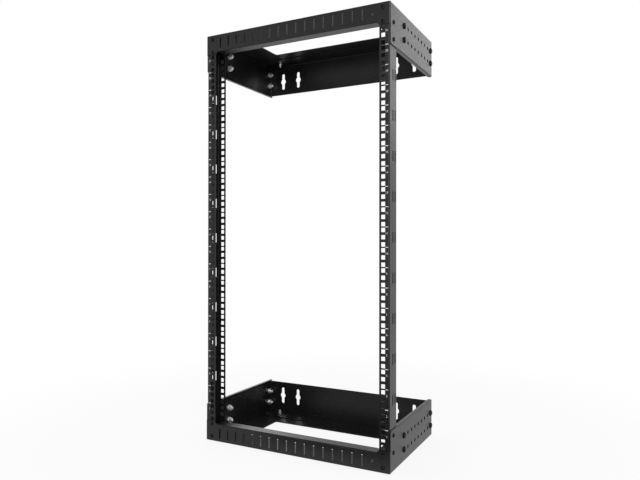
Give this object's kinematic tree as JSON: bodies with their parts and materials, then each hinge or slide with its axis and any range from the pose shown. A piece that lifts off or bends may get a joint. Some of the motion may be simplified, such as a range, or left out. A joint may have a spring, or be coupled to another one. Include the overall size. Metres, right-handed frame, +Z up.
{
  "type": "wall mount open frame rack",
  "caption": "Open frame equipment rack of black sheet steel: square-hole rails between folded top and bottom trays that slide over wall brackets with keyholes.",
  "frame": {"origin": "under the middle of the whole rack, in the plane of its base", "axes": "+X to the right seen from the front, +Y from the front towards the wall, +Z up along the rails"},
  "size_m": [0.508, 0.3074, 1.0335],
  "materials": {
    "powder_coat": "satin black powder coat with a fine texture",
    "black_fasteners": "black zinc or black oxide, satin",
    "zinc_plate": "bright zinc plate"
  },
  "bodies": {
    "root": {"upper_tray": "powder_coat", "lower_tray": "powder_coat", "upper_wall_bracket": "powder_coat", "lower_wall_bracket": "powder_coat", "left_rail": "powder_coat", "right_rail": "powder_coat", "upper_left_side_bolts": "black_fasteners", "upper_left_side_washers": "zinc_plate", "upper_left_side_nuts": "zinc_plate", "upper_left_rail_side_screws": "black_fasteners", "upper_left_rail_front_screws": "black_fasteners", "upper_right_side_bolts": "black_fasteners", "upper_right_side_washers": "zinc_plate", "upper_right_side_nuts": "zinc_plate", "upper_right_rail_side_screws": "black_fasteners", "upper_right_rail_front_screws": "black_fasteners", "lower_left_side_bolts": "black_fasteners", "lower_left_side_washers": "zinc_plate", "lower_left_side_nuts": "zinc_plate", "lower_left_rail_side_screws": "black_fasteners", "lower_left_rail_front_screws": "black_fasteners", "lower_right_side_bolts": "black_fasteners", "lower_right_side_washers": "zinc_plate", "lower_right_side_nuts": "zinc_plate", "lower_right_rail_side_screws": "black_fasteners", "lower_right_rail_front_screws": "black_fasteners", "upper_corner_screws": "zinc_plate", "upper_corner_washers": "zinc_plate", "upper_corner_nuts": "zinc_plate", "lower_corner_screws": "zinc_plate", "lower_corner_washers": "zinc_plate", "lower_corner_nuts": "zinc_plate"}
  },
  "joints": []
}
